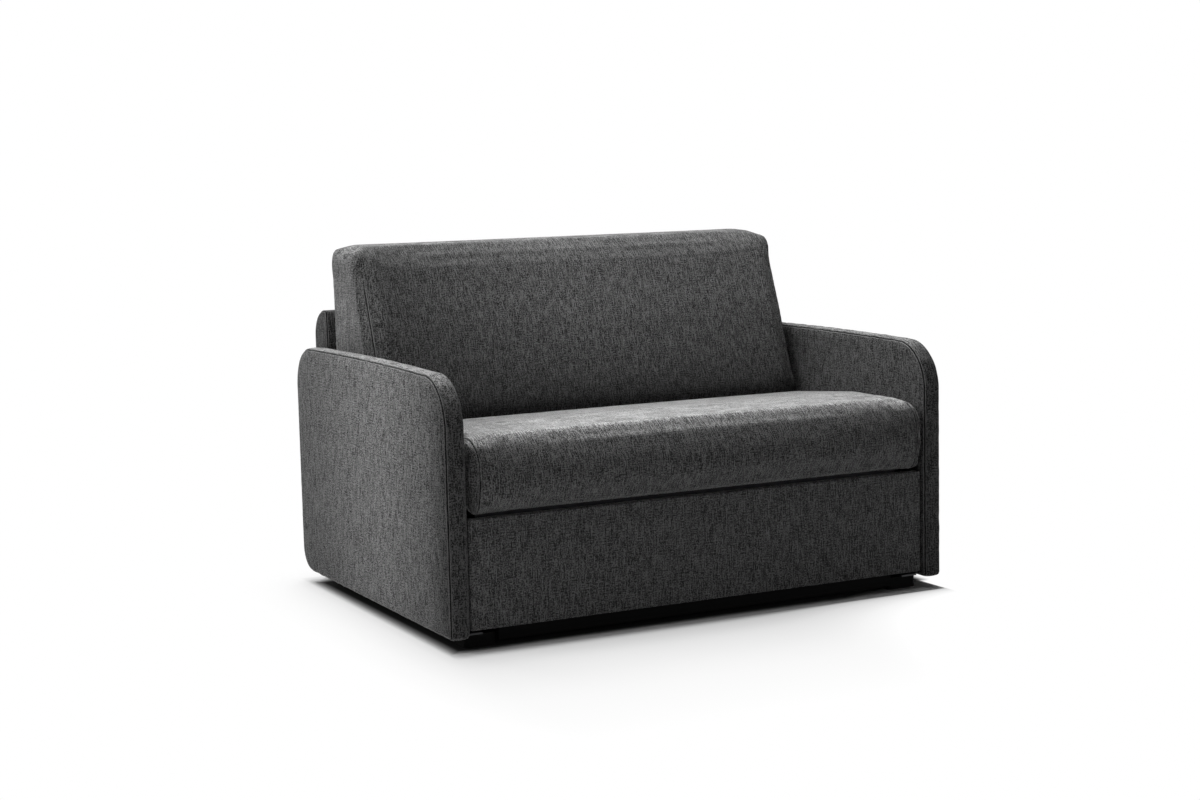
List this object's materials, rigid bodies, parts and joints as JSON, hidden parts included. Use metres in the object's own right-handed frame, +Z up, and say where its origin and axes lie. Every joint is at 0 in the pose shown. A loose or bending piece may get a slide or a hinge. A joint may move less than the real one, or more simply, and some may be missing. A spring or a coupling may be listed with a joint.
{
  "type": "sofa bed",
  "caption": "Two-seat upholstered sofa bed with slim arms; its seat and back flip forward on links and legs to form a double bed.",
  "frame": {"origin": "on the floor under the middle of the folded sofa's bounding box", "axes": "+X to the right as seen from in front of the sofa, +Y to the rear, +Z up"},
  "size_m": [1.34, 1.015, 0.881],
  "materials": {
    "fabric_light": "heathered chenille weave",
    "fabric_mid": "heathered chenille weave",
    "ticking": "quilted ticking",
    "timber": "planed softwood and plywood",
    "timber_black": "softwood, black stain",
    "beech": "laminated and sealed",
    "steel": "satin powder coat",
    "zinc": "zinc plated",
    "plastic": "moulded"
  },
  "bodies": {
    "carcass": {"left_arm_core": "timber", "right_arm_core": "timber", "left_arm_cover": "fabric_light", "right_arm_cover": "fabric_light", "fascia_board": "timber", "fascia_cover": "fabric_mid", "front_rail": "timber_black", "fascia_screws": "zinc", "back_core": "timber", "back_cover": "fabric_mid", "back_dowels": "zinc", "left_base_plate": "steel", "right_base_plate": "steel", "base_cross_tubes": "steel", "rest_pads": "plastic", "arm_bolts": "zinc", "base_pivot_pins": "zinc", "feet": "plastic"},
    "left_front_lift": {"left_front_link": "steel"},
    "right_front_lift": {"right_front_link": "steel"},
    "left_rear_lift": {"left_rear_link": "steel"},
    "right_rear_lift": {"right_rear_link": "steel"},
    "head_section": {"head_side_rails": "steel", "head_cross_tubes": "steel", "head_slats": "beech", "head_slat_holders": "plastic", "head_pivot_pins": "zinc", "head_hinge_plates": "steel", "head_hinge_pins": "zinc", "head_mattress": "ticking"},
    "middle_section": {"middle_side_rails": "steel", "middle_cross_tubes": "steel", "middle_slats": "beech", "middle_slat_holders": "plastic", "middle_hinge_plates": "steel", "fold_hinge_plates": "steel", "fold_hinge_pins": "zinc", "leg_brackets": "steel", "leg_pins": "zinc", "middle_mattress": "ticking", "seat_board": "timber", "seat_cushion": "fabric_light"},
    "left_leg_unit": {"left_leg": "steel", "left_leg_glide": "plastic"},
    "right_leg_unit": {"right_leg": "steel", "right_leg_glide": "plastic"},
    "foot_section": {"foot_side_rails": "steel", "foot_cross_tubes": "steel", "foot_slats": "beech", "foot_slat_holders": "plastic", "foot_hinge_plates": "steel", "foot_mattress": "ticking", "back_board": "timber", "back_cushion": "fabric_mid", "back_border": "fabric_mid"}
  },
  "joints": [
    {"name": "unfold", "type": "hinge", "parent": "carcass", "child": "right_front_lift", "pos_m": [0.612, -0.2425, 0.1625], "axis": [1, 0, 0], "range_deg": [0, 120]},
    {"name": "left_front_lift_turn", "type": "hinge", "parent": "carcass", "child": "left_front_lift", "pos_m": [-0.612, -0.2425, 0.1625], "axis": [1, 0, 0], "range_deg": [0, 120]},
    {"name": "right_rear_lift_turn", "type": "hinge", "parent": "carcass", "child": "right_rear_lift", "pos_m": [0.612, 0.0575, 0.1625], "axis": [1, 0, 0], "range_deg": [0, 120]},
    {"name": "left_rear_lift_turn", "type": "hinge", "parent": "carcass", "child": "left_rear_lift", "pos_m": [-0.612, 0.0575, 0.1625], "axis": [1, 0, 0], "range_deg": [0, 120]},
    {"name": "head_level", "type": "hinge", "parent": "right_front_lift", "child": "head_section", "pos_m": [0.612, -0.08055, 0.069], "axis": [1, 0, 0], "range_deg": [-120, 0]},
    {"name": "middle_flip", "type": "hinge", "parent": "head_section", "child": "middle_section", "pos_m": [0, -0.4305, 0.1815], "axis": [1, 0, 0], "range_deg": [0, 180]},
    {"name": "foot_flip", "type": "hinge", "parent": "middle_section", "child": "foot_section", "pos_m": [0, 0.2825, 0.294], "axis": [1, 0, 0], "range_deg": [-90, 0]},
    {"name": "left_leg_drop", "type": "hinge", "parent": "middle_section", "child": "left_leg_unit", "pos_m": [-0.612, 0.2155, 0.2715], "axis": [1, 0, 0], "range_deg": [-90, 0]},
    {"name": "right_leg_drop", "type": "hinge", "parent": "middle_section", "child": "right_leg_unit", "pos_m": [0.612, 0.2155, 0.2715], "axis": [1, 0, 0], "range_deg": [-90, 0]}
  ],
  "couplings": [
    {"joint": "left_front_lift_turn", "follows": "unfold", "ratio": 1},
    {"joint": "right_rear_lift_turn", "follows": "unfold", "ratio": 1},
    {"joint": "left_rear_lift_turn", "follows": "unfold", "ratio": 1},
    {"joint": "head_level", "follows": "unfold", "ratio": -1},
    {"joint": "middle_flip", "follows": "unfold", "ratio": 1.5},
    {"joint": "foot_flip", "follows": "unfold", "ratio": -0.75},
    {"joint": "left_leg_drop", "follows": "unfold", "ratio": -0.75},
    {"joint": "right_leg_drop", "follows": "unfold", "ratio": -0.75}
  ]
}
